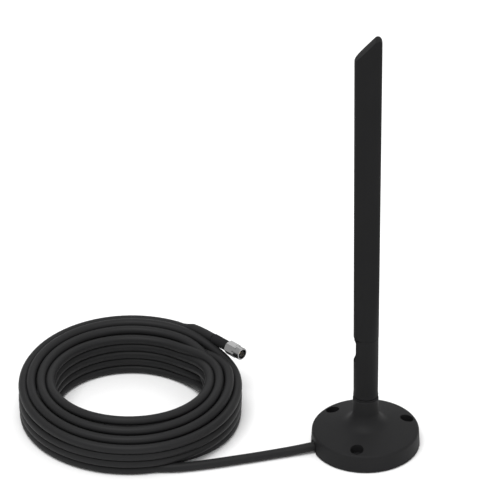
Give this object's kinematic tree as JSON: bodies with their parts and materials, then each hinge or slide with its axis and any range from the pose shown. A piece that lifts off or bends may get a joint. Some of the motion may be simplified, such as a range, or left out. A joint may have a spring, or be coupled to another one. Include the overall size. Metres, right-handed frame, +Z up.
{
  "type": "stand antenna with coiled coaxial lead",
  "caption": "External paddle antenna of a cellular signal booster: folding blade on a round screw-down base, with a coiled coaxial lead and threaded plug.",
  "frame": {"origin": "centre of the base's underside, on the surface it stands on", "axes": "+Z up along the antenna, the blade's flat face towards -Y, the lead leaves the base towards -X"},
  "size_m": [0.2594, 0.145, 0.3026],
  "materials": {
    "black_plastic": "fine satin",
    "black_rubber": "matte",
    "cable_jacket": "satin",
    "nickel_plate": "plated, bright",
    "steel": "plain",
    "gold_plate": "gold plated",
    "ptfe_white": "white",
    "circuit_board": "solder mask",
    "copper": "bare",
    "foam": "open-cell foam"
  },
  "bodies": {
    "base": {"base_cover": "black_plastic", "base_plate": "steel", "foot_pad": "black_rubber", "ballast_ring": "steel", "plate_screw_1": "steel", "plate_screw_2": "steel", "plate_screw_3": "steel", "cable_grommet": "black_rubber", "cable_clamp": "nickel_plate", "clamp_screw_1": "steel", "clamp_screw_2": "steel", "base_cable": "cable_jacket", "jack_body": "gold_plate", "jack_insulator": "ptfe_white", "jack_contact": "gold_plate", "jack_lock_washer": "steel", "jack_nut": "nickel_plate", "neck_seal_ring": "black_rubber", "antenna_coupling_nut": "nickel_plate", "lead_cable": "cable_jacket", "cable_coil": "cable_jacket", "lead_tail": "cable_jacket", "plug_boot": "black_rubber", "plug_ferrule": "nickel_plate", "plug_body": "nickel_plate", "plug_snap_ring": "steel", "plug_gasket": "black_rubber", "plug_insulator": "ptfe_white", "plug_pin": "gold_plate"},
    "swivel": {"swivel_fork": "black_plastic", "hinge_pin": "steel", "antenna_plug_body": "nickel_plate", "antenna_plug_insulator": "ptfe_white", "antenna_plug_pin": "gold_plate", "feed_cable_lower": "cable_jacket"},
    "blade": {"blade_front_shell": "black_plastic", "blade_rear_shell": "black_plastic", "hinge_bush": "ptfe_white", "antenna_board": "circuit_board", "low_band_element": "copper", "high_band_element": "copper", "ground_element": "copper", "lower_foam_pad": "foam", "upper_foam_pad": "foam", "feed_cable_upper": "cable_jacket"},
    "coupling_nut": {"plug_coupling_nut": "nickel_plate"}
  },
  "joints": [
    {"name": "antenna_swivel", "type": "hinge", "parent": "base", "child": "swivel", "pos_m": [0, 0, 0.0377], "axis": [0, 0, 1], "continuous": true},
    {"name": "blade_tilt", "type": "hinge", "parent": "swivel", "child": "blade", "pos_m": [-0.0026, 0, 0.0764], "axis": [0, -1, 0], "range_deg": [0, 90]},
    {"name": "coupling_nut_spin", "type": "hinge", "parent": "base", "child": "coupling_nut", "pos_m": [-0.0837, 0.0622, 0.031], "axis": [0.7009, -0.7133, 0], "continuous": true}
  ]
}
